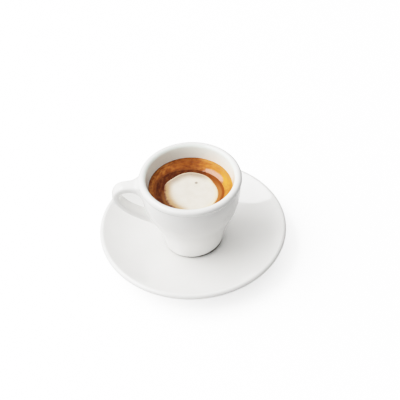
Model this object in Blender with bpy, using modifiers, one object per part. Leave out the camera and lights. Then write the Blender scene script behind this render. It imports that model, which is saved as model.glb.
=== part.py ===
"""An espresso macchiato in its thick porcelain cup, standing on its saucer.

Metres, +Z up. The origin is the middle of the saucer's foot, on the table. The cup's handle points along -X.
"""
from math import atan, atan2, copysign, cos, pi, radians, sin

import bmesh
import bpy
from mathutils import Matrix

MM = 0.001
GAP = 0.3 * MM
MERGE = 0.01 * MM

# Faces round each turned piece and along its curves
ROUND_SEGMENTS = 64
DRINK_SEGMENTS = 48
STRAP_SIDES = 16
STRAP_STEPS = 5
BOWL_STEPS = 12
BOWL_FINE_STEPS = 200
BEAD_STEPS = 10
NECK_STEPS = 2
FOOT_STEPS = 2
DISH_STEPS = 8
LIP_STEPS = 7
FOAM_RINGS = 5
FOAM_EDGE_STEPS = 3

# Saucer
SAUCER_RADIUS = 60.0 * MM
SAUCER_LIP_RADIUS = 1.8 * MM
SAUCER_LIP_HEIGHT = 16.0 * MM
SAUCER_WALL = 3.6 * MM
SAUCER_WELL_RADIUS = 20.0 * MM
SAUCER_RISE_POWER = 2.1
SAUCER_FOOT_RADIUS = 32.0 * MM
SAUCER_FOOT_WIDTH = 3.2 * MM
SAUCER_FOOT_HEIGHT = 2.4 * MM
SAUCER_FOOT_DRAFT = 1.2 * MM

# Cup, heights above its own base
CUP_BASE_HEIGHT = 7.53 * MM
CUP_HEIGHT = 54.7 * MM
CUP_FOOT_RADIUS = 18.95 * MM
CUP_FOOT_ROUND = 0.5 * MM
CUP_SEAT_RADIUS = 17.2 * MM
CUP_SEAT_HEIGHT = 0.8 * MM
CUP_RIM_RADIUS = 32.17 * MM
CUP_RIM_ROLL = 2.36 * MM
CUP_BEAD_TURN = radians(38.0)
CUP_NECK_RADIUS = 31.4 * MM
CUP_NECK_HEIGHT = 49.6 * MM
CUP_NECK_PULL = 0.45 * MM
CUP_WALL_PULL = 23.4 * MM
CUP_FOOT_ANGLE = radians(80.6)
CUP_FOOT_PULL = 27.9 * MM
BOWL_FLOOR = 7.0 * MM
BOWL_RIM_LEAN = 1.7 * MM
BOWL_RIM_PULL = 8.0 * MM
BOWL_FLOOR_PULL = 23.6 * MM

# Handle, a rounded strap; distances out from the cup's axis and heights above the table
STRAP_HALF_WIDTH = 4.3 * MM
STRAP_HALF_DEPTH = 2.6 * MM
STRAP_SQUARENESS = 2.8
STRAP_TOP_FLARE = 1.45
STRAP_LOW_FLARE = 1.1
STRAP_TOP_ROOT = (29.3 * MM, 54.9 * MM)
STRAP_TOP_BEND = (39.2 * MM, 55.8 * MM)
STRAP_SHOULDER = (44.6 * MM, 54.2 * MM)
STRAP_REACH = (46.8 * MM, 49.0 * MM)
STRAP_LOW_BEND = (42.6 * MM, 40.8 * MM)
STRAP_LOW_RUN = (32.6 * MM, 32.2 * MM)
STRAP_LOW_ROOT = (20.9 * MM, 25.7 * MM)

# Drink, heights above the table
DRINK_LEVEL = 53.2 * MM
CREMA_THICKNESS = 1.3 * MM
CREMA_CLIMB = 0.3 * MM
CREMA_CLIMB_WIDTH = 1.6 * MM
RING_RADIUS = 19.9 * MM
RING_CENTRE = (-0.3 * MM, -3.9 * MM)
FOAM_RADIUS = 17.2 * MM
FOAM_CENTRE = (-0.5 * MM, -4.3 * MM)
FOAM_DEPTH = 1.5 * MM
FOAM_EDGE_ROUND = 0.5 * MM
FOAM_DOME = 0.5 * MM


def clear_scene():
    for item in list(bpy.data.objects):
        bpy.data.objects.remove(item, do_unlink=True)


def new_collection(name):
    collection = bpy.data.collections.new(name)
    bpy.context.scene.collection.children.link(collection)
    return collection


def material(name, colour, roughness, coat=0.0):
    result = bpy.data.materials.new(name)
    result.use_nodes = True
    shader = result.node_tree.nodes["Principled BSDF"]
    shader.inputs["Base Color"].default_value = (*colour, 1.0)
    shader.inputs["Roughness"].default_value = roughness
    shader.inputs["Metallic"].default_value = 0.0
    shader.inputs["Coat Weight"].default_value = coat
    return result


def place(name, mesh, collection, finish=None):
    item = bpy.data.objects.new(name, mesh)
    collection.objects.link(item)
    if finish:
        mesh.materials.append(finish)
    return item


def hide_cutter(item):
    item.hide_render = True
    item.display_type = "WIRE"


def bezier(start, pull_start, pull_end, end, steps):
    """Points on one cubic curve, both ends included."""
    points = []
    for i in range(steps + 1):
        t = i / steps
        u = 1.0 - t
        weights = (u ** 3, 3 * u * u * t, 3 * u * t * t, t ** 3)
        corners = (start, pull_start, pull_end, end)
        points.append(tuple(sum(w * c[k] for w, c in zip(weights, corners)) for k in (0, 1)))
    return points


def arc(centre, radius, start, end, steps):
    """Points on a circle from one angle to another, both ends included."""
    angles = [start + (end - start) * i / steps for i in range(steps + 1)]
    return [(centre[0] + radius * cos(a), centre[1] + radius * sin(a)) for a in angles]


def turned(name, profile, segments, collection, finish=None):
    """A solid of revolution about Z from a profile that runs from the axis, over its outer side, back to the axis."""
    mesh = bpy.data.meshes.new(name)
    edges = [(i, i + 1) for i in range(len(profile) - 1)]
    mesh.from_pydata([(r, 0.0, z) for r, z in profile], edges, [])
    item = place(name, mesh, collection, finish)
    screw = item.modifiers.new("turn", "SCREW")
    screw.steps = segments
    screw.render_steps = segments
    screw.use_merge_vertices = True
    screw.merge_threshold = MERGE
    screw.use_smooth_shade = True
    return item


def cylinder(name, radius, bottom, top, centre, collection):
    mesh = bpy.data.meshes.new(name)
    builder = bmesh.new()
    middle = Matrix.Translation((0.0, 0.0, (bottom + top) / 2))
    bmesh.ops.create_cone(
        builder,
        cap_ends=True,
        segments=DRINK_SEGMENTS,
        radius1=radius,
        radius2=radius,
        depth=top - bottom,
        matrix=middle,
    )
    builder.to_mesh(mesh)
    builder.free()
    item = place(name, mesh, collection)
    item.location = (centre[0], centre[1], 0.0)
    hide_cutter(item)
    return item


def boolean(item, operation, other):
    step = item.modifiers.new(other.name, "BOOLEAN")
    step.operation = operation
    step.object = other
    step.solver = "EXACT"


def cup_rim():
    """The rim's round bead, from the mouth over the top and under its outer side, and the neck below it."""
    centre = (CUP_RIM_RADIUS - CUP_RIM_ROLL, CUP_HEIGHT - CUP_RIM_ROLL)
    bead = arc(centre, CUP_RIM_ROLL, pi, -CUP_BEAD_TURN, BEAD_STEPS)
    radius, height = bead[-1]
    neck = bezier(
        (radius, height),
        (radius - CUP_NECK_PULL * sin(CUP_BEAD_TURN), height - CUP_NECK_PULL * cos(CUP_BEAD_TURN)),
        (CUP_NECK_RADIUS, CUP_NECK_HEIGHT + CUP_NECK_PULL),
        (CUP_NECK_RADIUS, CUP_NECK_HEIGHT),
        NECK_STEPS,
    )
    return bead + neck[1:]


def cup_outside():
    """The cup's outer wall from the neck under the rim down to the foot."""
    pull = (
        CUP_FOOT_RADIUS + CUP_FOOT_PULL * cos(CUP_FOOT_ANGLE),
        CUP_FOOT_PULL * sin(CUP_FOOT_ANGLE),
    )
    return bezier(
        (CUP_NECK_RADIUS, CUP_NECK_HEIGHT),
        (CUP_NECK_RADIUS, CUP_NECK_HEIGHT - CUP_WALL_PULL),
        pull,
        (CUP_FOOT_RADIUS, 0.0),
        BOWL_STEPS,
    )


def bowl_inside(steps):
    """The cup's inner wall from the middle of its floor up to the rolled rim."""
    mouth = CUP_RIM_RADIUS - 2 * CUP_RIM_ROLL
    rim_height = CUP_HEIGHT - CUP_RIM_ROLL
    return bezier(
        (0.0, BOWL_FLOOR),
        (BOWL_FLOOR_PULL, BOWL_FLOOR),
        (mouth - BOWL_RIM_LEAN, rim_height - BOWL_RIM_PULL),
        (mouth, rim_height),
        steps,
    )


def raised(points, height):
    return [(r, z + height) for r, z in points]


def bowl_radius(height):
    """The bowl's inner radius at a height above the table."""
    wall = raised(bowl_inside(BOWL_FINE_STEPS), CUP_BASE_HEIGHT)
    for (r0, z0), (r1, z1) in zip(wall, wall[1:]):
        if z0 <= height <= z1 and z1 > z0:
            return r0 + (r1 - r0) * (height - z0) / (z1 - z0)
    raise ValueError("that height is outside the bowl")


def strap_section(cutters):
    """The strap's outline across its path: a rounded oblong, from the superellipse formula."""
    curve = bpy.data.curves.new("strap_section", "CURVE")
    curve.dimensions = "2D"
    spline = curve.splines.new("POLY")
    spline.use_cyclic_u = True
    spline.points.add(STRAP_SIDES - 1)
    power = 2.0 / STRAP_SQUARENESS
    for i, point in enumerate(spline.points):
        angle = 2 * pi * i / STRAP_SIDES
        deep = STRAP_HALF_DEPTH * copysign(abs(cos(angle)) ** power, cos(angle))
        across = STRAP_HALF_WIDTH * copysign(abs(sin(angle)) ** power, sin(angle))
        point.co = (deep, across, 0.0, 1.0)
    section = place("strap_section", curve, cutters)
    hide_cutter(section)
    return section


def make_strap(cutters):
    """The handle's strap: its section swept from the top of the wall, round the finger gap, to the wall's waist."""
    stations = [
        STRAP_TOP_ROOT,
        STRAP_TOP_BEND,
        STRAP_SHOULDER,
        STRAP_REACH,
        STRAP_LOW_BEND,
        STRAP_LOW_RUN,
        STRAP_LOW_ROOT,
    ]
    curve = bpy.data.curves.new("strap_path", "CURVE")
    curve.dimensions = "3D"
    curve.twist_mode = "Z_UP"
    curve.bevel_mode = "OBJECT"
    curve.bevel_object = strap_section(cutters)
    curve.resolution_u = STRAP_STEPS
    curve.use_fill_caps = True
    spline = curve.splines.new("BEZIER")
    spline.bezier_points.add(len(stations) - 1)
    for point, (out, height) in zip(spline.bezier_points, stations):
        point.co = (-out, height, 0.0)
        point.handle_left_type = "AUTO"
        point.handle_right_type = "AUTO"
    spline.bezier_points[0].radius = STRAP_TOP_FLARE
    spline.bezier_points[-1].radius = STRAP_LOW_FLARE
    path = place("strap_path", curve, cutters)
    path.rotation_euler = (pi / 2, 0.0, 0.0)
    bpy.context.view_layer.update()
    solid = bpy.data.meshes.new_from_object(path.evaluated_get(bpy.context.evaluated_depsgraph_get()))
    builder = bmesh.new()
    builder.from_mesh(solid)
    bmesh.ops.remove_doubles(builder, verts=builder.verts, dist=MERGE)
    bmesh.ops.recalc_face_normals(builder, faces=builder.faces)
    builder.to_mesh(solid)
    builder.free()
    strap = place("strap", solid, cutters)
    strap.matrix_world = path.matrix_world.copy()
    bpy.data.objects.remove(path, do_unlink=True)
    hide_cutter(strap)
    return strap


def make_cup(parts, cutters, glaze):
    """Bowl, beaded rim, flared wall and the seat it stands on, with the handle fused on."""
    foot_centre = (CUP_FOOT_RADIUS - CUP_FOOT_ROUND, CUP_SEAT_HEIGHT + CUP_FOOT_ROUND)
    profile = bowl_inside(BOWL_STEPS)
    profile += cup_rim()[1:]
    profile += [point for point in cup_outside()[1:] if point[1] > foot_centre[1]]
    profile += arc(foot_centre, CUP_FOOT_ROUND, 0.0, -pi / 2, FOOT_STEPS)
    profile += [(CUP_SEAT_RADIUS, CUP_SEAT_HEIGHT), (CUP_SEAT_RADIUS, 0.0), (0.0, 0.0)]
    cup = turned("cup", raised(profile, CUP_BASE_HEIGHT), ROUND_SEGMENTS, parts, glaze)
    boolean(cup, "UNION", make_strap(cutters))
    return cup


def saucer_top(radius, end_radius, end_height):
    """Height of the saucer's upper face: flat in the middle, then rising ever more steeply."""
    well_height = CUP_BASE_HEIGHT - GAP
    if radius <= SAUCER_WELL_RADIUS:
        return well_height
    run = (radius - SAUCER_WELL_RADIUS) / (end_radius - SAUCER_WELL_RADIUS)
    return well_height + (end_height - well_height) * run ** SAUCER_RISE_POWER


def saucer_slope(end_radius, end_height):
    """Angle at which the upper face reaches the lip."""
    rise = end_height - (CUP_BASE_HEIGHT - GAP)
    return atan(SAUCER_RISE_POWER * rise / (end_radius - SAUCER_WELL_RADIUS))


def make_saucer(parts, glaze):
    """A smooth bowl-shaped saucer with a round lip and a foot ring."""
    lip = (SAUCER_RADIUS - SAUCER_LIP_RADIUS, SAUCER_LIP_HEIGHT)
    slope = saucer_slope(lip[0], lip[1] + SAUCER_LIP_RADIUS)
    end_radius = lip[0] - SAUCER_LIP_RADIUS * sin(slope)
    end_height = lip[1] + SAUCER_LIP_RADIUS * cos(slope)
    run = (end_radius - SAUCER_WELL_RADIUS) / DISH_STEPS
    radii = [SAUCER_WELL_RADIUS + run * i for i in range(DISH_STEPS + 1)]
    top = [(r, saucer_top(r, end_radius, end_height)) for r in radii]
    profile = [(0.0, CUP_BASE_HEIGHT - GAP)] + top
    profile += arc(lip, SAUCER_LIP_RADIUS, pi / 2 + slope, slope - pi / 2, LIP_STEPS)[1:]
    for before, here, after in reversed(list(zip(top, top[1:], top[2:]))):
        lean = atan2(after[1] - before[1], after[0] - before[0])
        below = (here[0] + SAUCER_WALL * sin(lean), here[1] - SAUCER_WALL * cos(lean))
        if below[0] > SAUCER_FOOT_RADIUS + SAUCER_FOOT_DRAFT and below[1] > SAUCER_FOOT_HEIGHT:
            profile.append(below)
    profile += [
        (SAUCER_FOOT_RADIUS + SAUCER_FOOT_DRAFT, SAUCER_FOOT_HEIGHT + GAP),
        (SAUCER_FOOT_RADIUS, 0.0),
        (SAUCER_FOOT_RADIUS - SAUCER_FOOT_WIDTH, 0.0),
        (SAUCER_FOOT_RADIUS - SAUCER_FOOT_WIDTH - SAUCER_FOOT_DRAFT, SAUCER_FOOT_HEIGHT),
        (0.0, SAUCER_FOOT_HEIGHT),
    ]
    return turned("saucer", profile, ROUND_SEGMENTS, parts, glaze)


def make_crema(parts, cutters, finish):
    """The thin golden layer along the wall, round the dark ring, climbing the wall a little at its edge."""
    bottom = DRINK_LEVEL - CREMA_THICKNESS
    top_edge = DRINK_LEVEL + CREMA_CLIMB
    profile = [
        (0.0, DRINK_LEVEL),
        (bowl_radius(DRINK_LEVEL) - GAP - CREMA_CLIMB_WIDTH, DRINK_LEVEL),
        (bowl_radius(DRINK_LEVEL) - GAP - CREMA_CLIMB_WIDTH / 3, DRINK_LEVEL + CREMA_CLIMB / 3),
        (bowl_radius(top_edge) - GAP, top_edge),
        (bowl_radius(bottom) - GAP, bottom),
        (0.0, bottom),
    ]
    crema = turned("crema", profile, DRINK_SEGMENTS, parts, finish)
    hole = cylinder("ring_hole", RING_RADIUS, bottom - GAP, top_edge, RING_CENTRE, cutters)
    boolean(crema, "DIFFERENCE", hole)
    return crema


def make_espresso(parts, cutters, finish):
    """The coffee: it fills the bowl and comes up to the surface as the dark ring round the foam."""
    top = DRINK_LEVEL - CREMA_THICKNESS - GAP
    wall = raised(bowl_inside(BOWL_STEPS), CUP_BASE_HEIGHT)[1:]
    profile = [(0.0, top), (bowl_radius(top) - GAP, top)]
    profile += reversed([(r - GAP, z + GAP) for r, z in wall if z + 2 * GAP < top])
    profile.append((0.0, CUP_BASE_HEIGHT + BOWL_FLOOR + GAP))
    espresso = turned("espresso", profile, DRINK_SEGMENTS, parts, finish)
    island = cylinder("ring", RING_RADIUS - GAP, top - CREMA_THICKNESS, DRINK_LEVEL, RING_CENTRE, cutters)
    boolean(espresso, "UNION", island)
    pit_bottom = DRINK_LEVEL - FOAM_DEPTH - GAP
    pit = cylinder("foam_pit", FOAM_RADIUS + GAP, pit_bottom, DRINK_LEVEL + GAP, FOAM_CENTRE, cutters)
    boolean(espresso, "DIFFERENCE", pit)
    return espresso


def make_foam(parts, finish):
    """The spot of milk foam: a shallow dome with a soft edge, set in the coffee."""
    edge = DRINK_LEVEL - FOAM_EDGE_ROUND
    flat_radius = FOAM_RADIUS - FOAM_EDGE_ROUND
    profile = []
    for i in range(FOAM_RINGS):
        share = i / FOAM_RINGS
        profile.append((flat_radius * share, DRINK_LEVEL + FOAM_DOME * (1.0 - share ** 2)))
    profile += arc((flat_radius, edge), FOAM_EDGE_ROUND, pi / 2, 0.0, FOAM_EDGE_STEPS)
    profile += [(FOAM_RADIUS, DRINK_LEVEL - FOAM_DEPTH), (0.0, DRINK_LEVEL - FOAM_DEPTH)]
    foam = turned("milk_foam", profile, DRINK_SEGMENTS, parts, finish)
    foam.location = (FOAM_CENTRE[0], FOAM_CENTRE[1], 0.0)
    return foam


def main():
    clear_scene()
    parts = new_collection("espresso_macchiato")
    cutters = new_collection("cutters")
    glaze = material("porcelain_glaze", (0.86, 0.85, 0.82), 0.12, coat=0.5)
    make_saucer(parts, glaze)
    make_cup(parts, cutters, glaze)
    make_espresso(parts, cutters, material("dark_coffee", (0.09, 0.025, 0.008), 0.25))
    make_crema(parts, cutters, material("crema", (0.33, 0.10, 0.025), 0.4))
    make_foam(parts, material("milk_foam", (0.80, 0.76, 0.69), 0.6))


main()
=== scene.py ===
from math import atan, cos, hypot, pi, radians, sin

import bpy
import numpy as np
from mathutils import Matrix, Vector, noise


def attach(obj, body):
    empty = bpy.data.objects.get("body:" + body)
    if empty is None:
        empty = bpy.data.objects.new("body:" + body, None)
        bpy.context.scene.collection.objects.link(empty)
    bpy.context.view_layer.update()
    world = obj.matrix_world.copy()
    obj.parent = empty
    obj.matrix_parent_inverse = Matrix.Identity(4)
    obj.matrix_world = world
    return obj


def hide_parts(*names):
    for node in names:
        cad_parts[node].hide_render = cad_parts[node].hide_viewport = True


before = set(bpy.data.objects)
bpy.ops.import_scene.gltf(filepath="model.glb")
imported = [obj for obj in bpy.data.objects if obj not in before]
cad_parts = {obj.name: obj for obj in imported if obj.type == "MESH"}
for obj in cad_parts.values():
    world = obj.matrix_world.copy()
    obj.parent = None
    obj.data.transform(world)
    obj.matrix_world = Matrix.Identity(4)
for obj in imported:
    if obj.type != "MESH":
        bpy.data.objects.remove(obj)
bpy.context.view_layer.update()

MM = 0.001
SEED = 7
TURN_SEGMENTS = 192

# Camera, fitted to the outlines of saucer, rim and coffee
CAMERA_PLACE = (0.0, -523.484 * MM, 577.091 * MM)
CAMERA_TURN = (radians(44.2514), radians(2.0176), radians(-2.6657))
CAMERA_LENS = 107.1
CAMERA_SENSOR = 36.0

# Light: a large softbox at the left, and soft light from the left, above and behind
KEY_AIM = (0.0, 0.0, 0.03)
KEY_AZIMUTH = radians(176.0)
KEY_ELEVATION = radians(58.0)
KEY_DISTANCE = 1.4
KEY_SIZE = (1.2, 0.6)
KEY_POWER = 13.5
SKY_LOBES = (((-1.0, 0.0, 0.0), 3.45), ((0.0, 0.0, 1.0), 1.45), ((0.0, 1.0, 0.0), 0.65))
SKY_MIRRORED = 0.45
SKY_SEEN = 4.0
VIEW_WHITE = 4.0
VIEW_CURVE = (0.03, 0.06, 0.10, 0.15, 0.20, 0.26, 0.33, 0.42, 0.55, 0.75)
FLOOR_HALF = 4.0
FLOOR_LAYERS = (0.95, 0.95)
FLOOR_GLOW = 0.45
FLOOR_BOUNCE = (0.75, 0.3)
FLOOR_NEAR = (72 * MM, 120 * MM)

# Saucer
SAUCER_RADIUS = 60.0 * MM
SAUCER_LIP_RADIUS = 1.8 * MM
SAUCER_LIP_HEIGHT = 16.0 * MM
SAUCER_WALL = 3.6 * MM
SAUCER_WELL_RADIUS = 20.0 * MM
SAUCER_WELL_HEIGHT = 7.23 * MM
SAUCER_RISE_POWER = 2.1
SAUCER_FOOT_RADIUS = 32.0 * MM
SAUCER_FOOT_WIDTH = 3.2 * MM
SAUCER_FOOT_HEIGHT = 2.4 * MM
SAUCER_FOOT_DRAFT = 1.2 * MM
SAUCER_FOOT_ROUND = 0.5 * MM
SAUCER_JOIN_HEIGHT = 1.2 * MM
SAUCER_JOIN_OUT = 0.3 * MM
SAUCER_OUTER_CLEAR = 1.5 * MM
SAUCER_OUTER_PULL = 0.6 * MM
SAUCER_INNER_PULLS = (0.8 * MM, 1.2 * MM)
SAUCER_INNER_END = 3.0 * MM
SAUCER_RISE_STEPS = 40
SAUCER_LIP_STEPS = 20
SAUCER_LIP_SKIP = 2
SAUCER_ROUND_STEPS = 5
SAUCER_BEND_STEPS = 6

# Cup, heights above its own base
CUP_BASE_HEIGHT = 7.53 * MM
CUP_HEIGHT = 54.7 * MM
CUP_FOOT_RADIUS = 18.95 * MM
CUP_FOOT_ROUND = 0.5 * MM
CUP_SEAT_RADIUS = 18.55 * MM
CUP_SEAT_TOP = 3.0 * MM
CUP_SEAT_WIDTH = 3.0 * MM
CUP_SEAT_CHAMFER = 0.2 * MM
# The foot is lifted most towards the seat's turn, the shaded right front, so the near-black seat shows
# there as painted shade
CUP_SEAT_SHOWS = (0.12 * MM, 2.2 * MM)
CUP_SEAT_TURN = radians(-27.0)
CUP_SEAT_SPREAD = 4.0
CUP_SEAT_SHIFT = 0.35 * MM
CUP_RIM_RADIUS = 32.17 * MM
CUP_RIM_ROLL = 2.36 * MM
CUP_BEAD_TURN = radians(38.0)
CUP_BEAD_STEPS = 28
CUP_NECK_RADIUS = 31.4 * MM
CUP_NECK_HEIGHT = 49.6 * MM
CUP_NECK_PULL = 0.45 * MM
CUP_NECK_STEPS = 6
CUP_WALL_PULL = 23.4 * MM
CUP_FOOT_ANGLE = radians(80.6)
CUP_FOOT_PULL = 27.9 * MM
BOWL_FLOOR = 7.0 * MM
BOWL_RIM_LEAN = 1.7 * MM
BOWL_RIM_PULL = 8.0 * MM
BOWL_FLOOR_PULL = 23.6 * MM
WALL_STEPS = 40
CUP_GRID = 0.6 * MM
CUP_PROBE = 0.02 * MM
CUP_FIT_PASSES = 3
CUP_SLOPE_LEAST = 0.25

# Handle, distances out from the cup's axis and heights above the table
STRAP_HALF_WIDTH = 4.3 * MM
STRAP_HALF_DEPTH = 2.6 * MM
STRAP_SQUARENESS = 2.8
STRAP_TOP_FLARE = 1.45
STRAP_LOW_FLARE = 1.1
STRAP_STATIONS = [
    (29.3 * MM, 54.9 * MM),
    (39.2 * MM, 55.8 * MM),
    (44.6 * MM, 54.2 * MM),
    (46.8 * MM, 49.0 * MM),
    (42.6 * MM, 40.8 * MM),
    (32.6 * MM, 32.2 * MM),
    (20.9 * MM, 25.7 * MM),
]
STRAP_FILLET = 3.6 * MM
STRAP_REACH_IN = 2.2 * MM
STRAP_RESOLUTION = 16

# Drink, heights above the table
DRINK_LEVEL = 53.2 * MM
DRINK_SEGMENTS = 360
WALL_OVERLAP = 0.12 * MM
RING_CENTRE = (-0.3 * MM, -3.9 * MM)
RING_OUTLINE = (
    (-120, 20.5), (-60, 20.5), (-8, 21.2), (18, 20.4), (50, 19.4),
    (98, 19.3), (125, 21.2), (151, 22.6), (172, 21.2),
)
RING_SINK = 1.0 * MM
RING_UNDER = 0.9 * MM
COFFEE_LOOPS = 14
CREMA_THICKNESS = 1.5 * MM
CREMA_BANK = (0.75 * MM, 1.5 * MM)
CREMA_BANK_WIDTH = (4.6 * MM, 3.4 * MM)
CREMA_BANK_TURN = radians(38.0)
CREMA_BANK_SPREAD = 2.0
CREMA_BANK_STRAIGHT = 0.6
CREMA_BANK_LIMIT = 0.8
CREMA_SINK_RIGHT = 0.8 * MM
CREMA_SINK_TURN = radians(10.0)
CREMA_SINK_SPREAD = 1.5
CREMA_CLIMB = 0.3 * MM
CREMA_CLIMB_WIDTH = 1.2 * MM
CREMA_RELIEF = 0.05 * MM
CREMA_RELIEF_SIZE = 1.6 * MM
CREMA_DIP = 0.12 * MM
CREMA_UNDERCUT = 0.3 * MM
CREMA_LOOPS = 40
FOAM_CENTRE = (-0.5 * MM, -4.3 * MM)
FOAM_OUTLINE = (
    (-158, 16.3), (-135, 17.2), (-110, 18.0), (-60, 18.3), (-28, 18.1),
    (22, 16.5), (84, 17.5), (130, 16.5), (154, 17.3), (172, 16.4),
)
FOAM_WAVE = 0.10 * MM
FOAM_WAVES = 7
FOAM_WAVE_START = 2.0
FOAM_DEPTH = 1.7 * MM
FOAM_SINK = 0.35 * MM
FOAM_DOME = 0.35 * MM
FOAM_EDGE = 1.0 * MM
FOAM_RELIEF = 0.035 * MM
FOAM_RELIEF_SIZE = 2.4 * MM
FOAM_DIP = 0.1 * MM
FOAM_UNDERCUT = 0.2 * MM
FOAM_LOOPS = 44
FOAM_BUBBLES = (((3.7 * MM, 2.7 * MM), 1.3 * MM, 0.75), ((1.0 * MM, 10.6 * MM), 0.8 * MM, 0.25))
OUTLINE_EASE = 12
RELIEF_NOISE = (0.6, 2.0, 3)
SWIRL_ROUND = 8.0 * MM
WET_TURN = radians(40.0)

# Colours, linear; a pair runs from a mask's 0 to its 1
GLAZE_TONES = ((0.910, 0.900, 0.876), (0.930, 0.920, 0.898))
# Painted tint for the bowl, against the crema's orange bounce light
GLAZE_BOUNCE_OFFSET = (0.885, 0.930, 0.880)
GLAZE_BARE = (0.62, 0.58, 0.52)
# Near-black seat ring under the foot: painted shade
FOOT_SHADE_TONES = ((0.030, 0.029, 0.012), (0.060, 0.057, 0.028))
COFFEE_TONES = ((0.062, 0.009, 0.001), (0.25, 0.055, 0.006))
COFFEE_STREAKS = ((0.19, 0.050, 0.007), (0.30, 0.075, 0.009))
COFFEE_INNER = (0.42, 0.140, 0.030)
COFFEE_FILM = (0.50, 0.21, 0.060)
COFFEE_THINNED = (0.24, 0.085, 0.020)
CREMA_BROWN = ((0.16, 0.028, 0.001), (0.28, 0.072, 0.007))
CREMA_GOLD = ((0.53, 0.150, 0.020), (0.67, 0.240, 0.042))
CREMA_OLIVE = (0.47, 0.155, 0.030)
CREMA_YELLOW = (0.82, 0.33, 0.046)
CREMA_PALE = (0.62, 0.255, 0.066)
CREMA_ORANGE = ((0.42, 0.125, 0.018), (0.62, 0.22, 0.036))
CREMA_WET = (0.43, 0.105, 0.018)
CREMA_BY_COFFEE = (0.13, 0.028, 0.005)
CREMA_BY_WALL = (0.10, 0.030, 0.008)
CREMA_SPECKS = ((0.40, 0.12, 0.012), (0.88, 0.39, 0.06))
CREMA_PORES = ((0.10, 0.022, 0.004), (0.45, 0.14, 0.02))
FOAM_TONES = ((0.770, 0.695, 0.590), (0.815, 0.745, 0.645))
FOAM_CREAM = (0.78, 0.65, 0.46)
FOAM_GREY = (0.43, 0.335, 0.255)
FOAM_FADED = (0.58, 0.45, 0.31)
FOAM_THIN = (0.47, 0.275, 0.125)
FOAM_TORN = (0.13, 0.030, 0.005)
FOAM_LINE = (0.92, 0.76, 0.54)
FOAM_BURST = (0.20, 0.15, 0.10)


def bezier(start, pull_start, pull_end, end, steps):
    """Points on one cubic curve, both ends included."""
    t = np.linspace(0.0, 1.0, steps + 1)[:, None]
    u = 1.0 - t
    a, b, c, d = (np.array(corner) for corner in (start, pull_start, pull_end, end))
    return u ** 3 * a + 3 * u * u * t * b + 3 * u * t * t * c + t ** 3 * d


def arc(centre, radius, start, end, steps):
    """Points on a circle from one angle to another, both ends included."""
    angle = np.linspace(start, end, steps + 1)
    return np.column_stack((centre[0] + radius * np.cos(angle), centre[1] + radius * np.sin(angle)))


def smooth(value):
    """An even step from 0 to 1."""
    share = np.clip(value, 0.0, 1.0)
    return share * share * (3.0 - 2.0 * share)


def wave(angle, turn, sharpness):
    """1 in the direction of turn, falling to 0 on the far side."""
    return ((1.0 + np.cos(angle - turn)) / 2) ** sharpness


def link(name, mesh):
    piece = bpy.data.objects.new(name, mesh)
    bpy.context.scene.collection.objects.link(piece)
    return piece


def finish_piece(piece, finish, slot, *nodes):
    """Gives a piece its material, hangs it under the root body and hides the CAD nodes that it replaces."""
    piece.data.materials.clear()
    piece.data.materials.append(finish)
    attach(piece, "root")
    if nodes:
        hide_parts(*nodes)


def turned(name, profile, finish, slot, *nodes):
    """A piece of revolution about Z from a profile of radii and heights."""
    mesh = bpy.data.meshes.new(name)
    mesh.from_pydata([(r, 0.0, z) for r, z in profile], [(i, i + 1) for i in range(len(profile) - 1)], [])
    piece = link(name, mesh)
    screw = piece.modifiers.new("turn", "SCREW")
    screw.steps = TURN_SEGMENTS
    screw.render_steps = TURN_SEGMENTS
    screw.use_merge_vertices = True
    screw.merge_threshold = 0.01 * MM
    screw.use_smooth_shade = True
    finish_piece(piece, finish, slot, *nodes)
    return piece


# Node wiring


class Wire:
    """A value in a node tree, so that a mask reads like its formula."""

    def __init__(self, tree, socket):
        self.tree = tree
        self.socket = socket

    def math(self, operation, *others):
        step = self.tree.nodes.new("ShaderNodeMath")
        step.operation = operation
        for slot, value in enumerate((self, *others)):
            feed(self.tree, step.inputs[slot], value)
        return Wire(self.tree, step.outputs[0])

    def __add__(self, other):
        return self.math("ADD", other)

    def __sub__(self, other):
        return self.math("SUBTRACT", other)

    def __mul__(self, other):
        return self.math("MULTIPLY", other)

    def __truediv__(self, other):
        return self.math("DIVIDE", other)

    def ramp(self, low, high):
        """0 below low, 1 above high, or the other way round if low is the higher one."""
        step = self.tree.nodes.new("ShaderNodeMapRange")
        step.interpolation_type = "SMOOTHSTEP"
        flip = low > high
        feed(self.tree, step.inputs["Value"], self)
        step.inputs["From Min"].default_value = min(low, high)
        step.inputs["From Max"].default_value = max(low, high)
        step.inputs["To Min"].default_value = 1.0 if flip else 0.0
        step.inputs["To Max"].default_value = 0.0 if flip else 1.0
        return Wire(self.tree, step.outputs["Result"])


def feed(tree, socket, value):
    """Links a wire to the socket, or sets a constant there."""
    if isinstance(value, Wire):
        tree.links.new(value.socket, socket)
    else:
        socket.default_value = value


def position(tree):
    """The point on the surface, in metres, as the piece's own coordinates give it."""
    return Wire(tree, tree.nodes.new("ShaderNodeTexCoord").outputs["Object"])


def axes(tree, point):
    """The three parts of a point or direction."""
    split = tree.nodes.new("ShaderNodeSeparateXYZ")
    feed(tree, split.inputs[0], point)
    return [Wire(tree, output) for output in split.outputs]


def length(x, y):
    """How long a step along both axes is."""
    return (x * x + y * y).math("SQRT")


def stretched(tree, point, scale):
    """The point with its parts scaled, so that noise is drawn out along an axis."""
    step = tree.nodes.new("ShaderNodeVectorMath")
    step.operation = "MULTIPLY"
    feed(tree, step.inputs[0], point)
    step.inputs[1].default_value = scale
    return Wire(tree, step.outputs[0])


def marked(tree, name):
    """A distance that survey() marked on the mesh."""
    step = tree.nodes.new("ShaderNodeAttribute")
    step.attribute_name = name
    return Wire(tree, step.outputs["Fac"])


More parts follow.
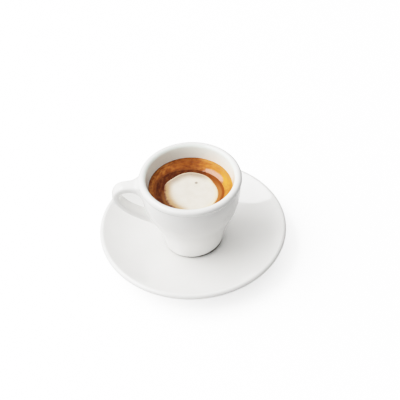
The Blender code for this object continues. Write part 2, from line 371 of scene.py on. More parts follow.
def cloud(tree, point, size, detail=3.0, roughness=0.5, warp=0.0):
    """Noise from 0 to 1 with patches of about the given size in metres."""
    step = tree.nodes.new("ShaderNodeTexNoise")
    feed(tree, step.inputs["Vector"], point)
    step.inputs["Scale"].default_value = 1.0 / size
    step.inputs["Detail"].default_value = detail
    step.inputs["Roughness"].default_value = roughness
    step.inputs["Distortion"].default_value = warp
    return Wire(tree, step.outputs[0])


def cells(tree, point, size):
    """Distance from the middle of the nearest cell, in cell sizes."""
    step = tree.nodes.new("ShaderNodeTexVoronoi")
    feed(tree, step.inputs["Vector"], point)
    step.inputs["Scale"].default_value = 1.0 / size
    return Wire(tree, step.outputs["Distance"])


def blend(tree, share, first, second):
    """A colour from first at 0 to second at 1."""
    step = tree.nodes.new("ShaderNodeMix")
    step.data_type = "RGBA"
    feed(tree, step.inputs[0], share)
    for slot, value in ((6, first), (7, second)):
        feed(tree, step.inputs[slot], value if isinstance(value, Wire) else (*value, 1.0))
    return Wire(tree, step.outputs[2])


def bump(tree, height, depth, under=None):
    """A normal from a height of 0 to 1 that stands for the given depth in metres."""
    step = tree.nodes.new("ShaderNodeBump")
    step.inputs["Strength"].default_value = 1.0
    step.inputs["Distance"].default_value = depth
    feed(tree, step.inputs["Height"], height)
    if under:
        feed(tree, step.inputs["Normal"], under)
    return Wire(tree, step.outputs["Normal"])


def new_finish(name):
    made = bpy.data.materials.new(name)
    made.use_nodes = True
    tree = made.node_tree
    return made, tree, tree.nodes["Principled BSDF"]


# Materials


def glaze_finish():
    """White glaze with a slight ripple, painted green in the bowl to offset the orange light that the crema
    throws on it, and bare clay under the foot ring.
    """
    made, tree, shader = new_finish("porcelain_glaze")
    point = position(tree)
    tone = cloud(tree, point, 14 * MM, detail=2.0)
    colour = blend(tree, tone.ramp(0.3, 0.7), *GLAZE_TONES)
    x, y, height = axes(tree, point)
    radius = length(x, y)
    normal = Wire(tree, tree.nodes.new("ShaderNodeNewGeometry").outputs["Normal"])
    across, along, _ = axes(tree, normal)
    # Painted tint: the bowl's inner wall turns a little green to offset the orange light thrown up by the
    # crema
    inward = ((across * x + along * y) / radius).ramp(-0.2, -0.6)
    bowl = inward * radius.ramp(30.5 * MM, 29.5 * MM) * height.ramp(30 * MM, 34 * MM)
    colour = blend(tree, bowl, colour, GLAZE_BOUNCE_OFFSET)
    bare = height.ramp(0.45 * MM, 0.3 * MM)
    colour = blend(tree, bare, colour, GLAZE_BARE)
    feed(tree, shader.inputs["Base Color"], colour)
    feed(tree, shader.inputs["Roughness"], bare * 0.5 + (tone * 0.03 + 0.05))
    shader.inputs["Specular IOR Level"].default_value = 0.85
    feed(tree, shader.inputs["Normal"], bump(tree, cloud(tree, point, 5 * MM, detail=1.0), 0.004 * MM))
    return made


def foot_shade_finish():
    """Unglazed clay, coloured near-black: painted shade for the dark gap under the cup's foot."""
    made, tree, shader = new_finish("unglazed_foot_shade")
    point = position(tree)
    grain = cloud(tree, point, 0.6 * MM, detail=3.0)
    feed(tree, shader.inputs["Base Color"], blend(tree, grain.ramp(0.3, 0.7), *FOOT_SHADE_TONES))
    shader.inputs["Roughness"].default_value = 0.85
    feed(tree, shader.inputs["Normal"], bump(tree, grain, 0.05 * MM))
    return made


def swirl(tree, point, size, seed):
    """Noise in long streaks that run round the cup."""
    x, y, _ = axes(tree, point)
    reach = length(x, y)
    joined = tree.nodes.new("ShaderNodeCombineXYZ")
    feed(tree, joined.inputs[0], x / reach * SWIRL_ROUND)
    feed(tree, joined.inputs[1], y / reach * SWIRL_ROUND)
    feed(tree, joined.inputs[2], reach + seed)
    return cloud(tree, Wire(tree, joined.outputs[0]), size, detail=4.0, roughness=0.6, warp=0.3)


def coffee_finish():
    """Dark streaked coffee, orange-brown towards the right, partly its own colour and partly painted light
    at the right and painted shade at the left, and lighter where foam thins out over it.
    """
    made, tree, shader = new_finish("dark_coffee")
    point = position(tree)
    x, y, _ = axes(tree, point)
    grain = swirl(tree, point, 1.5 * MM, 3 * MM)
    fine = cloud(tree, point, 0.6 * MM, detail=2.0)
    shift = (grain - 0.5) * (5 * MM)
    # Darker at the left, orange-brown at the right: partly the coffee's own colour, partly painted shade at
    # the left and painted light at the right
    right = (x + shift).ramp(2 * MM, 20 * MM)
    colour = blend(tree, right, *COFFEE_TONES)
    colour = blend(tree, grain.ramp(0.44, 0.64) * 0.55, colour, blend(tree, right, *COFFEE_STREAKS))
    inner = (marked(tree, "past_ring") + shift * 0.12).ramp(-0.9 * MM, -2.2 * MM)
    low = (y + shift).ramp(9 * MM, -5 * MM)
    colour = blend(tree, inner * low * right, colour, COFFEE_INNER)
    film = (marked(tree, "past_foam") + (fine - 0.5) * (0.7 * MM)).ramp(0.9 * MM, 0.1 * MM)
    colour = blend(tree, film * right * 0.7, colour, COFFEE_FILM)
    front_left = (y * -1.0).ramp(0.0, 9 * MM) * (x * -1.0).ramp(0.0, 8 * MM)
    thinned = (marked(tree, "past_foam") + (grain - 0.5) * (2.0 * MM)).ramp(2.6 * MM, 0.2 * MM)
    colour = blend(tree, thinned * front_left * 0.8, colour, COFFEE_THINNED)
    feed(tree, shader.inputs["Base Color"], colour)
    shader.inputs["Roughness"].default_value = 0.18
    shader.inputs["Specular IOR Level"].default_value = 0.13
    feed(tree, shader.inputs["Normal"], bump(tree, grain, 0.03 * MM))
    return made


def crema_finish():
    """Crema: streaked brown, golden and yellow at the right partly as painted light, darker along its edges
    with painted shade at the left, wet at the back right.
    """
    made, tree, shader = new_finish("crema_froth")
    point = position(tree)
    x, y, _ = axes(tree, point)
    out = marked(tree, "past_ring")
    wall = marked(tree, "from_wall")
    streaks = swirl(tree, point, 1.3 * MM, 0.0)
    patches = cloud(tree, point, 3.2 * MM, detail=4.0, roughness=0.6, warp=0.5)
    grain = cloud(tree, point, 0.5 * MM, detail=2.0, roughness=0.6)
    froth = cells(tree, point, 0.5 * MM)
    mix = (streaks * 0.6 + patches * 0.4).ramp(0.37, 0.63)
    # Brown at the left, golden at the right: partly the crema's own colour, partly painted shade at the
    # left and painted light at the right
    right = (x + (patches - 0.5) * (7 * MM)).ramp(0.5 * MM, 17.5 * MM)
    colour = blend(tree, right, blend(tree, mix, *CREMA_BROWN), blend(tree, mix, *CREMA_GOLD))
    olive = (x * -1.0 + y * 0.2).ramp(6 * MM, 20 * MM) * out.ramp(0.8 * MM, 2.6 * MM)
    colour = blend(tree, olive * mix * 0.7, colour, CREMA_OLIVE)
    # Yellow by the right wall: painted light, the glow of the lit inner wall on the crema
    yellow = (x - y * 0.2 + (patches - 0.5) * (5 * MM)).ramp(14 * MM, 22 * MM)
    colour = blend(tree, yellow * 0.75, colour, CREMA_YELLOW)
    pale = wall.ramp(3.6 * MM, 1.2 * MM) * x.ramp(5 * MM, 11 * MM) * y.ramp(1 * MM, 7 * MM)
    colour = blend(tree, pale * 0.8, colour, CREMA_PALE)
    low = (y + (patches - 0.5) * (8 * MM)).ramp(2.0 * MM, -4 * MM) * right
    colour = blend(tree, low * 0.8, colour, blend(tree, mix, *CREMA_ORANGE))
    across, along = x - RING_CENTRE[0], y - RING_CENTRE[1]
    toward = (across * cos(WET_TURN) + along * sin(WET_TURN)) / length(across, along)
    toward = toward.ramp(0.88, 0.98)
    ragged = (streaks - 0.5) * (1.8 * MM)
    wet = (out + ragged - toward * (2.9 * MM)).ramp(0.3 * MM, -0.3 * MM) * toward.ramp(0.0, 0.2)
    colour = blend(tree, wet * 0.8, colour, CREMA_WET)
    # Painted shade: darker along the dark ring and the wall, a little all round and much more at the left,
    # where the wall shades the crema and the bank faces away from the light
    shaded_left = (x + y * 0.3).ramp(12 * MM, -4 * MM)
    bank = (out + (streaks - 0.5) * (1.6 * MM)).ramp(1.9 * MM, 0.1 * MM)
    colour = blend(tree, bank * (shaded_left * 0.85 + 0.1), colour, CREMA_BY_COFFEE)
    rim = (wall + (grain - 0.5) * (0.4 * MM)).ramp(0.75 * MM, 0.25 * MM)
    colour = blend(tree, rim * (shaded_left * 0.6 + 0.15), colour, CREMA_BY_WALL)
    colour = blend(tree, grain.ramp(0.52, 0.72) * 0.35, colour, blend(tree, right, *CREMA_SPECKS))
    colour = blend(tree, froth.ramp(0.28, 0.05) * 0.35, colour, blend(tree, right, *CREMA_PORES))
    feed(tree, shader.inputs["Base Color"], colour)
    feed(tree, shader.inputs["Roughness"], grain * 0.1 + 0.4)
    shader.inputs["Specular IOR Level"].default_value = 0.1
    feed(tree, shader.inputs["Coat Weight"], wet)
    shader.inputs["Coat Roughness"].default_value = 0.14
    shader.inputs["Coat IOR"].default_value = 1.62
    shader.inputs["Subsurface Weight"].default_value = 0.10
    shader.inputs["Subsurface Radius"].default_value = (1.0, 0.4, 0.12)
    shader.inputs["Subsurface Scale"].default_value = 0.4 * MM
    normal = bump(tree, froth, 0.03 * MM)
    feed(tree, shader.inputs["Normal"], bump(tree, patches, 0.08 * MM, normal))
    return made


def foam_finish():
    """White milk foam: cream along its edge, greyer at the back, tan where it thins out at the left."""
    made, tree, shader = new_finish("fine_milk_foam")
    point = position(tree)
    x, y, _ = axes(tree, point)
    inset = marked(tree, "past_foam") * -1.0
    drawn = stretched(tree, point, (0.6, 1.5, 1.0))
    wisps = cloud(tree, drawn, 1.3 * MM, detail=4.0, roughness=0.6, warp=0.8)
    tone = cloud(tree, point, 4.5 * MM, detail=3.0)
    grain = (wisps - 0.5) * (1.6 * MM)
    colour = blend(tree, tone.ramp(0.35, 0.7), *FOAM_TONES)
    cream = (inset + grain * 0.6).ramp(3.4 * MM, 0.4 * MM)
    colour = blend(tree, cream, colour, FOAM_CREAM)
    back = (y - x * 0.35).ramp(-1 * MM, 7 * MM)
    grey = (inset + grain).ramp(7.0 * MM, 2.0 * MM)
    colour = blend(tree, grey * back, colour, FOAM_GREY)
    left = (x * -1.0 - y * 0.45 + grain * 1.5).ramp(8 * MM, 16.5 * MM)
    fade = (inset + grain * 1.6).ramp(9.5 * MM, 3.0 * MM)
    colour = blend(tree, left * fade * 0.6, colour, FOAM_FADED)
    thin = (inset + grain * 1.6).ramp(6.0 * MM, 1.6 * MM)
    colour = blend(tree, left * thin, colour, FOAM_THIN)
    torn = (inset + grain * 2.2).ramp(1.9 * MM, 0.0)
    colour = blend(tree, left * torn, colour, FOAM_TORN)
    line = (inset + grain * 0.15).ramp(1.25 * MM, 0.60 * MM)
    colour = blend(tree, line * (left * -1.0 + 1.0) * 0.9, colour, FOAM_LINE)
    for place, radius, share in FOAM_BUBBLES:
        spot = length(x - place[0], y - place[1]).ramp(radius, radius * 0.45)
        colour = blend(tree, spot * share, colour, FOAM_BURST)
    feed(tree, shader.inputs["Base Color"], colour)
    shader.inputs["Roughness"].default_value = 0.5
    shader.inputs["Specular IOR Level"].default_value = 0.3
    shader.inputs["Subsurface Weight"].default_value = 0.15
    shader.inputs["Subsurface Radius"].default_value = (1.0, 0.85, 0.6)
    shader.inputs["Subsurface Scale"].default_value = 0.5 * MM
    normal = bump(tree, cells(tree, point, 0.4 * MM), 0.015 * MM)
    feed(tree, shader.inputs["Normal"], bump(tree, tone, 0.08 * MM, normal))
    return made


# Cup


def cup_rim():
    """The rim's round bead, from the mouth over the top and under its outer side, and the neck below it."""
    centre = (CUP_RIM_RADIUS - CUP_RIM_ROLL, CUP_HEIGHT - CUP_RIM_ROLL)
    bead = arc(centre, CUP_RIM_ROLL, pi, -CUP_BEAD_TURN, CUP_BEAD_STEPS)
    radius, height = bead[-1]
    neck = bezier(
        (radius, height),
        (radius - CUP_NECK_PULL * sin(CUP_BEAD_TURN), height - CUP_NECK_PULL * cos(CUP_BEAD_TURN)),
        (CUP_NECK_RADIUS, CUP_NECK_HEIGHT + CUP_NECK_PULL),
        (CUP_NECK_RADIUS, CUP_NECK_HEIGHT),
        CUP_NECK_STEPS,
    )
    return np.vstack((bead, neck[1:]))


def cup_outside():
    """The cup's outer wall from the neck under the rim down to the foot."""
    pull = (
        CUP_FOOT_RADIUS + CUP_FOOT_PULL * cos(CUP_FOOT_ANGLE),
        CUP_FOOT_PULL * sin(CUP_FOOT_ANGLE),
    )
    return bezier(
        (CUP_NECK_RADIUS, CUP_NECK_HEIGHT),
        (CUP_NECK_RADIUS, CUP_NECK_HEIGHT - CUP_WALL_PULL),
        pull,
        (CUP_FOOT_RADIUS, 0.0),
        WALL_STEPS,
    )


def bowl_inside():
    """The cup's inner wall from the middle of its floor up to the rolled rim."""
    mouth = CUP_RIM_RADIUS - 2 * CUP_RIM_ROLL
    rim_height = CUP_HEIGHT - CUP_RIM_ROLL
    return bezier(
        (0.0, BOWL_FLOOR),
        (BOWL_FLOOR_PULL, BOWL_FLOOR),
        (mouth - BOWL_RIM_LEAN, rim_height - BOWL_RIM_PULL),
        (mouth, rim_height),
        WALL_STEPS,
    )


def cup_profile():
    """The cut through one half of the cup, closed along the axis, at its height above the table."""
    cut = np.vstack((bowl_inside(), cup_rim()[1:], cup_outside()[1:], [(0.0, 0.0)]))
    return cut + (0.0, CUP_BASE_HEIGHT)


def polygon_distance(points, polygon):
    """Signed distance in the plane from a closed outline, negative inside it."""
    px, py = points.T
    nearest = np.full(len(points), np.inf)
    inside = np.zeros(len(points), bool)
    for (ax, ay), (bx, by) in zip(polygon, np.roll(polygon, -1, axis=0)):
        sx, sy = bx - ax, by - ay
        share = np.clip(((px - ax) * sx + (py - ay) * sy) / (sx * sx + sy * sy), 0.0, 1.0)
        nearest = np.minimum(nearest, (px - ax - share * sx) ** 2 + (py - ay - share * sy) ** 2)
        if sy:
            inside ^= ((ay > py) != (by > py)) & (px < ax + sx * (py - ay) / sy)
    return np.where(inside, -1.0, 1.0) * np.sqrt(nearest)


def strap_axis():
    """The middle line of the handle's strap in its own plane, and how far it flares there."""
    curve = bpy.data.curves.new("strap_axis", "CURVE")
    curve.dimensions = "3D"
    curve.resolution_u = STRAP_RESOLUTION
    spline = curve.splines.new("BEZIER")
    spline.bezier_points.add(len(STRAP_STATIONS) - 1)
    for point, (out, height) in zip(spline.bezier_points, STRAP_STATIONS):
        point.co = (-out, 0.0, height)
        point.handle_left_type = "AUTO"
        point.handle_right_type = "AUTO"
    guide = link("strap_axis", curve)
    bpy.context.view_layer.update()
    mesh = guide.evaluated_get(bpy.context.evaluated_depsgraph_get()).to_mesh()
    line = np.array([(v.co.x, v.co.z) for v in mesh.vertices])
    bpy.data.objects.remove(guide, do_unlink=True)
    stretch = np.linspace(0.0, len(STRAP_STATIONS) - 1.0, len(line))
    top = (STRAP_TOP_FLARE - 1.0) * smooth(1.0 - stretch)
    low = (STRAP_LOW_FLARE - 1.0) * smooth(stretch - stretch[-1] + 1.0)
    return line, 1.0 + top + low


def strap_distance(points, line, flare):
    """Signed distance from the strap, whose cut across is a superellipse."""
    px, pz = points[:, 0], points[:, 2]
    nearest = np.full(len(points), np.inf)
    wide = np.ones(len(points))
    for (ax, az), (bx, bz), fa, fb in zip(line, line[1:], flare, flare[1:]):
        sx, sz = bx - ax, bz - az
        share = np.clip(((px - ax) * sx + (pz - az) * sz) / (sx * sx + sz * sz), 0.0, 1.0)
        gap = (px - ax - share * sx) ** 2 + (pz - az - share * sz) ** 2
        closer = gap < nearest
        nearest = np.where(closer, gap, nearest)
        wide = np.where(closer, fa + (fb - fa) * share, wide)
    n = STRAP_SQUARENESS
    across = np.abs(points[:, 1]) / (STRAP_HALF_WIDTH * wide)
    deep = np.sqrt(nearest) / (STRAP_HALF_DEPTH * wide)
    reach = np.maximum((across ** n + deep ** n) ** (1.0 / n), 1e-6)
    slope = np.hypot(
        across ** (n - 1) / (STRAP_HALF_WIDTH * wide),
        deep ** (n - 1) / (STRAP_HALF_DEPTH * wide),
    )
    return (reach - 1.0) * reach ** (n - 1) / np.maximum(slope, 1e-3)


def make_cup(finish):
    """The cup in fine mesh: the CAD node on an even grid, drawn onto the exact wall and strap."""
    profile = cup_profile()
    wall = cup_outside()[::-1] + (0.0, CUP_BASE_HEIGHT)
    line, flare = strap_axis()

    def distance(points):
        radius = np.hypot(points[:, 0], points[:, 1])
        body = polygon_distance(np.column_stack((radius, points[:, 2])), profile)
        # Painted shade: the glazed foot ends higher towards the shaded right front, so more of the
        # near-black seat ring shows there
        turn = wave(np.arctan2(points[:, 1], points[:, 0]), CUP_SEAT_TURN, CUP_SEAT_SPREAD)
        shown = CUP_SEAT_SHOWS[0] + (CUP_SEAT_SHOWS[1] - CUP_SEAT_SHOWS[0]) * turn
        below = CUP_BASE_HEIGHT + shown - points[:, 2]
        edge = np.clip(1.0 - np.abs(body - below) / CUP_FOOT_ROUND, 0.0, 1.0)
        body = np.maximum(body, below) + edge ** 2 * CUP_FOOT_ROUND / 4
        inward = np.interp(points[:, 2], wall[:, 1], wall[:, 0]) - radius
        strap = np.maximum(strap_distance(points, line, flare), inward - STRAP_REACH_IN)
        near = np.clip(1.0 - np.abs(body - strap) / STRAP_FILLET, 0.0, 1.0)
        near *= smooth(1.0 - inward / STRAP_REACH_IN)
        return np.minimum(body, strap) - near ** 2 * STRAP_FILLET / 4

    def slope(points):
        return np.column_stack([
            (distance(points + offset) - distance(points - offset)) / (2 * CUP_PROBE)
            for offset in np.eye(3) * CUP_PROBE
        ])

    rough = link("cup_rough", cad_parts["cup"].data.copy())
    remesh = rough.modifiers.new("grid", "REMESH")
    remesh.mode = "VOXEL"
    remesh.voxel_size = CUP_GRID
    remesh.use_smooth_shade = True
    bpy.context.view_layer.update()
    mesh = bpy.data.meshes.new_from_object(rough.evaluated_get(bpy.context.evaluated_depsgraph_get()))
    bpy.data.objects.remove(rough, do_unlink=True)
    points = np.zeros(len(mesh.vertices) * 3, np.float32)
    mesh.vertices.foreach_get("co", points)
    points = points.reshape(-1, 3).astype(float)
    for _ in range(CUP_FIT_PASSES):
        lean = slope(points)
        points -= lean * (distance(points) / np.maximum((lean ** 2).sum(1), CUP_SLOPE_LEAST))[:, None]
    mesh.vertices.foreach_set("co", points.astype(np.float32).ravel())
    mesh.update()
    normals = slope(points)
    normals /= np.linalg.norm(normals, axis=1)[:, None]
    mesh.normals_split_custom_set_from_vertices(normals)
    cup = link("cup_porcelain", mesh)
    finish_piece(cup, finish, "porcelain", "cup")


def make_seat(finish):
    """The unglazed ring under the cup, near-black as painted shade, a dark line where the glazed foot ends
    above the saucer.
    """
    inner = CUP_SEAT_RADIUS - CUP_SEAT_WIDTH
    outline = [
        (inner, CUP_SEAT_TOP),
        (CUP_SEAT_RADIUS, CUP_SEAT_TOP),
        (CUP_SEAT_RADIUS, CUP_SEAT_CHAMFER),
        (CUP_SEAT_RADIUS - CUP_SEAT_CHAMFER, 0.0),
        (inner, 0.0),
        (inner, CUP_SEAT_TOP),
    ]
    seat = turned("cup_seat_shade", [(r, z + CUP_BASE_HEIGHT) for r, z in outline], finish, "porcelain")
    seat.location = (CUP_SEAT_SHIFT * cos(CUP_SEAT_TURN), CUP_SEAT_SHIFT * sin(CUP_SEAT_TURN), 0.0)


# Saucer


def saucer_profile():
    """From the middle of the upper face over the lip, down to the foot ring and back to the axis."""
    lip = (SAUCER_RADIUS - SAUCER_LIP_RADIUS, SAUCER_LIP_HEIGHT)
    rise = lip[1] + SAUCER_LIP_RADIUS - SAUCER_WELL_HEIGHT
    slope = atan(SAUCER_RISE_POWER * rise / (lip[0] - SAUCER_WELL_RADIUS))
    end = (lip[0] - SAUCER_LIP_RADIUS * sin(slope), lip[1] + SAUCER_LIP_RADIUS * cos(slope))
    share = np.linspace(0.0, 1.0, SAUCER_RISE_STEPS + 1)[:, None]
    run = end[0] - SAUCER_WELL_RADIUS
    height = SAUCER_WELL_HEIGHT + (end[1] - SAUCER_WELL_HEIGHT) * share ** SAUCER_RISE_POWER
    top = np.hstack((SAUCER_WELL_RADIUS + run * share, height))
    lean = SAUCER_RISE_POWER * (end[1] - SAUCER_WELL_HEIGHT) / run * share ** (SAUCER_RISE_POWER - 1)
    down = np.hstack((lean, -np.ones_like(lean))) / np.hypot(lean, 1.0)
    below = (top + SAUCER_WALL * down)[::-1]
    foot_side = SAUCER_FOOT_RADIUS + SAUCER_FOOT_DRAFT
    edge = foot_side + SAUCER_OUTER_CLEAR
    under = [p for p in below[SAUCER_LIP_SKIP:] if p[0] > edge and p[1] > SAUCER_FOOT_HEIGHT]
    outer_bend = bezier(
        under[-1],
        (foot_side + SAUCER_OUTER_PULL, SAUCER_FOOT_HEIGHT + SAUCER_OUTER_PULL),
        (foot_side - SAUCER_JOIN_OUT, SAUCER_FOOT_HEIGHT),
        (SAUCER_FOOT_RADIUS + SAUCER_JOIN_OUT, SAUCER_JOIN_HEIGHT),
        SAUCER_BEND_STEPS,
    )
    outer_centre = (SAUCER_FOOT_RADIUS - SAUCER_FOOT_ROUND, SAUCER_FOOT_ROUND)
    inner = SAUCER_FOOT_RADIUS - SAUCER_FOOT_WIDTH
    inner_centre = (inner + SAUCER_FOOT_ROUND, SAUCER_FOOT_ROUND)
    inner_bend = bezier(
        (inner - SAUCER_JOIN_OUT, SAUCER_JOIN_HEIGHT),
        (inner - SAUCER_INNER_PULLS[0], SAUCER_FOOT_HEIGHT),
        (inner - SAUCER_INNER_PULLS[1], SAUCER_FOOT_HEIGHT),
        (inner - SAUCER_INNER_END, SAUCER_FOOT_HEIGHT),
        SAUCER_BEND_STEPS,
    )
    return np.vstack((
        [(0.0, SAUCER_WELL_HEIGHT)],
        top,
        arc(lip, SAUCER_LIP_RADIUS, pi / 2 + slope, slope - pi / 2, SAUCER_LIP_STEPS)[1:],
        under,
        outer_bend[1:],
        arc(outer_centre, SAUCER_FOOT_ROUND, 0.0, -pi / 2, SAUCER_ROUND_STEPS),
        arc(inner_centre, SAUCER_FOOT_ROUND, -pi / 2, -pi, SAUCER_ROUND_STEPS),
        inner_bend,
        [(0.0, SAUCER_FOOT_HEIGHT)],
    ))


def make_saucer(finish):
    turned("saucer_porcelain", saucer_profile(), finish, "porcelain", "saucer")


# Drink


ANGLES = np.linspace(0.0, 2 * pi, DRINK_SEGMENTS, endpoint=False)


def bowl_radius(height):
    """The bowl's inner radius at a height above the table."""
    wall = bowl_inside() + (0.0, CUP_BASE_HEIGHT)
    return np.interp(height, wall[:, 1], wall[:, 0])


def loop(centre, radius, height):
    """A closed ring of points; radius and height may differ round it."""
    radius = radius * np.ones(DRINK_SEGMENTS)
    height = height * np.ones(DRINK_SEGMENTS)
    x, y = centre
    return np.column_stack((x + radius * np.cos(ANGLES), y + radius * np.sin(ANGLES), height))


def ruffle(points, size, seed):
    """Even noise round zero at every point of a loop, with waves of the given size."""
    shift = Vector((seed, seed, 0.0))
    return np.array([noise.fractal(Vector(p) / size + shift, *RELIEF_NOISE) for p in points])


def woven(name, loops, ring=False):
    """A closed mesh through loops: one that meets itself as a ring, or one with a point at either end."""
    count, size = len(loops), DRINK_SEGMENTS
    points = np.vstack(loops)
    here = np.arange(size)
    after = np.roll(here, -1)
    faces = []
    for i in range(count if ring else count - 1):
        a, b = i * size, (i + 1) % count * size
        faces += np.column_stack((a + here, b + here, b + after, a + after)).tolist()
    if not ring:
        ends = np.array([loops[0].mean(0), loops[-1].mean(0)])
        points = np.vstack((points, ends))
        first, last = len(points) - 2, len(points) - 1
        faces += [(first, a, b) for a, b in zip(here.tolist(), after.tolist())]
        base = (count - 1) * size
        faces += [(last, base + b, base + a) for a, b in zip(here.tolist(), after.tolist())]
    mesh = bpy.data.meshes.new(name)
    mesh.from_pydata(points.tolist(), [], faces)
    mesh.shade_smooth()
    return link(name, mesh)


def around(outline):
    """A radius in metres at every angle, smoothly past stations of degrees and millimetres."""
    turn, radius = np.array(outline).T
    edge = np.interp(np.degrees(ANGLES), turn, radius * MM, period=360.0)
    steps = range(-OUTLINE_EASE, OUTLINE_EASE + 1)
    weights = [1.0 + cos(pi * step / (OUTLINE_EASE + 1)) for step in steps]
    return sum(weight * np.roll(edge, step) for weight, step in zip(weights, steps)) / sum(weights)


RING_EDGE = around(RING_OUTLINE)
FOAM_SIDE = around(FOAM_OUTLINE) + FOAM_WAVE * np.sin(FOAM_WAVES * ANGLES + FOAM_WAVE_START)


def survey(piece):
    """Marks every point with how far outside the foam, outside the dark ring and inside the wall it is."""
    points = np.zeros(len(piece.data.vertices) * 3, np.float32)
    piece.data.vertices.foreach_get("co", points)
    x, y, _ = points.reshape(-1, 3).T
    for name, centre, edge, sign in (
        ("past_foam", FOAM_CENTRE, FOAM_SIDE, 1.0),
        ("past_ring", RING_CENTRE, RING_EDGE, 1.0),
        ("from_wall", (0.0, 0.0), bowl_radius(DRINK_LEVEL) * np.ones(DRINK_SEGMENTS), -1.0),
    ):
        dx, dy = x - centre[0], y - centre[1]
        limit = np.interp(np.arctan2(dy, dx), ANGLES, edge, period=2 * pi)
        mark = piece.data.attributes.new(name, "FLOAT", "POINT")
        mark.data.foreach_set("value", (sign * (np.hypot(dx, dy) - limit)).astype(np.float32))


def make_espresso(finish):
    """The coffee: it fills the bowl under the crema and foam, and shows as the dark ring."""
    level = DRINK_LEVEL - RING_SINK
    bed = DRINK_LEVEL - CREMA_THICKNESS
    inside = FOAM_SIDE - RING_UNDER
    outside = RING_EDGE + RING_UNDER
    loops = [loop(FOAM_CENTRE, inside * share, DRINK_LEVEL - FOAM_DEPTH) for share in (0.5, 1.0)]
    inner = loop(FOAM_CENTRE, inside, level)
    outer = loop(RING_CENTRE, outside, level)
    loops += [inner + (outer - inner) * share for share in np.linspace(0.0, 1.0, COFFEE_LOOPS)]
    loops.append(loop(RING_CENTRE, outside, bed))
    wall = bowl_inside()[::-1] + (0.0, CUP_BASE_HEIGHT)
    loops.append(loop((0.0, 0.0), bowl_radius(bed) + WALL_OVERLAP, bed))
    lower = [(r, z) for r, z in wall[:-1] if z < bed - WALL_OVERLAP]
    loops += [loop((0.0, 0.0), r + WALL_OVERLAP, z - WALL_OVERLAP) for r, z in lower]
    espresso = woven("espresso_coffee", loops)
    survey(espresso)
    finish_piece(espresso, finish, "coffee", "espresso")


def make_crema(finish):
    """The crema: a bank round the dark ring, steeper at the right, then a frothy field up to the wall."""
    bed = DRINK_LEVEL - CREMA_THICKNESS
    right = wave(ANGLES, CREMA_BANK_TURN, CREMA_BANK_SPREAD)
    low = DRINK_LEVEL - RING_SINK
    top = low + CREMA_BANK[0] + (CREMA_BANK[1] - CREMA_BANK[0]) * right
    contact = DRINK_LEVEL - CREMA_CLIMB
    contact = contact - CREMA_SINK_RIGHT * wave(ANGLES, CREMA_SINK_TURN, CREMA_SINK_SPREAD)
    start = loop(RING_CENTRE, RING_EDGE, DRINK_LEVEL)
    end = loop((0.0, 0.0), bowl_radius(contact + CREMA_CLIMB) + WALL_OVERLAP, DRINK_LEVEL)
    width = np.linalg.norm(end - start, axis=1)
    bank = CREMA_BANK_WIDTH[0] + (CREMA_BANK_WIDTH[1] - CREMA_BANK_WIDTH[0]) * right
    bank = np.minimum(bank, CREMA_BANK_LIMIT * width)
    straight = CREMA_BANK_STRAIGHT * right
    loops = [loop(RING_CENTRE, RING_EDGE + CREMA_UNDERCUT, bed)]
    for share in np.linspace(0.0, 1.0, CREMA_LOOPS):
        across = start + (end - start) * share
        out = width * share
        climb = np.clip(1.0 - (width - out) / CREMA_CLIMB_WIDTH, 0.0, 1.0) ** 2 * CREMA_CLIMB
        rise = straight * np.clip(out / bank, 0.0, 1.0) + (1.0 - straight) * smooth(out / bank)
        slope = low + (top - low) * rise
        field = top + (contact - top) * smooth((out - bank) / (width - bank))
        relief = ruffle(across, CREMA_RELIEF_SIZE, SEED) * CREMA_RELIEF * smooth(out / bank)
        dip = 0.0 if share else CREMA_DIP
        across[:, 2] = np.where(out < bank, slope, field) + climb + relief - dip
        loops.append(across)
    loops.append(loop((0.0, 0.0), bowl_radius(bed) + WALL_OVERLAP, bed))
    crema = woven("crema_layer", loops, ring=True)
    survey(crema)
    finish_piece(crema, finish, "crema", "crema")


def make_foam(finish):
    """The milk foam: a low dome with a soft edge that dips into the coffee."""
    loops = []
    low = DRINK_LEVEL - RING_SINK - FOAM_DIP
    rim = DRINK_LEVEL - FOAM_SINK
    for share in np.linspace(0.02, 1.0, FOAM_LOOPS):
        ring = loop(FOAM_CENTRE, FOAM_SIDE * share, DRINK_LEVEL)
        inset = FOAM_SIDE * (1.0 - share)
        edge = np.sqrt(1.0 - (1.0 - np.clip(inset / FOAM_EDGE, 0.0, 1.0)) ** 2)
        relief = ruffle(ring, FOAM_RELIEF_SIZE, SEED + 5) * FOAM_RELIEF
        ring[:, 2] = low + (rim - low + FOAM_DOME * (1.0 - share ** 2) + relief) * edge
        loops.append(ring)
    loops.append(loop(FOAM_CENTRE, FOAM_SIDE - FOAM_UNDERCUT, DRINK_LEVEL - FOAM_DEPTH))
    foam = woven("milk_foam_spot", loops)
    survey(foam)
    finish_piece(foam, finish, "milk_foam", "milk_foam")


# Stage


def make_camera():
    data = bpy.data.cameras.new("camera")
    data.lens = CAMERA_LENS
    data.sensor_width = CAMERA_SENSOR
    camera = bpy.data.objects.new("camera", data)
    camera.location = CAMERA_PLACE
    camera.rotation_euler = CAMERA_TURN
    bpy.context.scene.collection.objects.link(camera)
    bpy.context.scene.camera = camera


def make_key():
    data = bpy.data.lights.new("key", "AREA")
    data.shape = "RECTANGLE"
    data.size, data.size_y = KEY_SIZE
    data.energy = KEY_POWER
    key = bpy.data.objects.new("key", data)
    key.location = KEY_DISTANCE * Vector((
        cos(KEY_AZIMUTH) * cos(KEY_ELEVATION),
        sin(KEY_AZIMUTH) * cos(KEY_ELEVATION),
        sin(KEY_ELEVATION),
    ))
    key.rotation_euler = (Vector(KEY_AIM) - key.location).to_track_quat("-Z", "Y").to_euler()
    key.visible_camera = False
    bpy.context.scene.collection.objects.link(key)


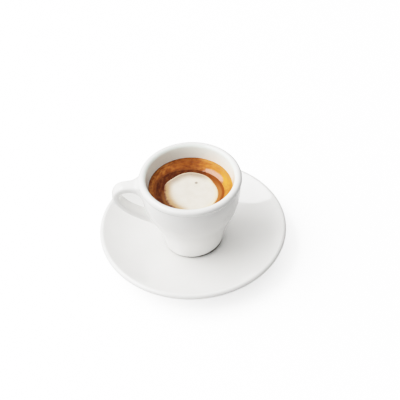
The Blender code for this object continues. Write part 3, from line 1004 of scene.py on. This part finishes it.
def ray_kind(tree, kind):
    return Wire(tree, tree.nodes.new("ShaderNodeLightPath").outputs[kind])


def make_sky():
    """Soft light in broad lobes, weaker in reflections, before an even white background."""
    world = bpy.data.worlds.new("sky")
    world.use_nodes = True
    tree = world.node_tree
    direction = Wire(tree, tree.nodes.new("ShaderNodeTexCoord").outputs["Generated"])
    total = None
    for axis, strength in SKY_LOBES:
        lean = tree.nodes.new("ShaderNodeVectorMath")
        lean.operation = "DOT_PRODUCT"
        feed(tree, lean.inputs[0], direction)
        lean.inputs[1].default_value = axis
        facing = Wire(tree, lean.outputs["Value"]).math("MAXIMUM", 0.0)
        lobe = facing * facing * strength
        total = total + lobe if total else lobe
    seen = ray_kind(tree, "Is Camera Ray")
    mirrored = ray_kind(tree, "Is Glossy Ray")
    background = tree.nodes["Background"]
    background.inputs["Color"].default_value = (1.0, 1.0, 1.0, 1.0)
    dimmed = total * (mirrored * (SKY_MIRRORED - 1.0) + 1.0)
    feed(tree, background.inputs["Strength"], dimmed * (seen * -1.0 + 1.0) + seen * SKY_SEEN)
    bpy.context.scene.world = world


def make_floor():
    """A pale floor: bright to the camera, darker for the light that it throws back at the set."""
    mesh = bpy.data.meshes.new("floor")
    corners = [(x * FLOOR_HALF, y * FLOOR_HALF, 0.0) for x, y in ((-1, -1), (1, -1), (1, 1), (-1, 1))]
    mesh.from_pydata(corners, [], [(0, 1, 2, 3)])
    floor = link("floor", mesh)
    made, tree, shader = new_finish("floor")
    x, y, _ = axes(tree, position(tree))
    near = length(x, y).ramp(FLOOR_NEAR[1], FLOOR_NEAR[0])
    tone = near * (FLOOR_BOUNCE[0] - FLOOR_BOUNCE[1]) + FLOOR_BOUNCE[1]
    feed(tree, shader.inputs["Base Color"], tone)
    shader.inputs["Roughness"].default_value = 0.9
    shader.inputs["Specular IOR Level"].default_value = 0.0
    bright = tree.nodes.new("ShaderNodeAddShader")
    for slot, grey in enumerate(FLOOR_LAYERS):
        layer = tree.nodes.new("ShaderNodeBsdfDiffuse")
        layer.inputs["Color"].default_value = (grey, grey, grey, 1.0)
        tree.links.new(layer.outputs[0], bright.inputs[slot])
    glow = tree.nodes.new("ShaderNodeEmission")
    glow.inputs["Strength"].default_value = FLOOR_GLOW
    lit = tree.nodes.new("ShaderNodeAddShader")
    tree.links.new(bright.outputs[0], lit.inputs[0])
    tree.links.new(glow.outputs[0], lit.inputs[1])
    choice = tree.nodes.new("ShaderNodeMixShader")
    feed(tree, choice.inputs[0], ray_kind(tree, "Is Camera Ray"))
    tree.links.new(shader.outputs[0], choice.inputs[1])
    tree.links.new(lit.outputs[0], choice.inputs[2])
    tree.links.new(choice.outputs[0], tree.nodes["Material Output"].inputs["Surface"])
    mesh.materials.append(made)


def make_view():
    """Bright tones bend over softly, as in a camera, so that white glaze keeps its form in strong light."""
    view = bpy.context.scene.view_settings
    view.view_transform = "Standard"
    view.use_curve_mapping = True
    mapping = view.curve_mapping
    mapping.white_level = (VIEW_WHITE, VIEW_WHITE, VIEW_WHITE)
    curve = mapping.curves[3]
    top = hypot(1.0, 1.0 / VIEW_WHITE)
    for share in VIEW_CURVE:
        tone = share * VIEW_WHITE
        curve.points.new(share, top * tone / hypot(1.0, tone))
    mapping.update()


make_camera()
glaze = glaze_finish()
make_cup(glaze)
make_seat(foot_shade_finish())
make_saucer(glaze)
make_espresso(coffee_finish())
make_crema(crema_finish())
make_foam(foam_finish())
make_floor()
make_key()
make_sky()
make_view()
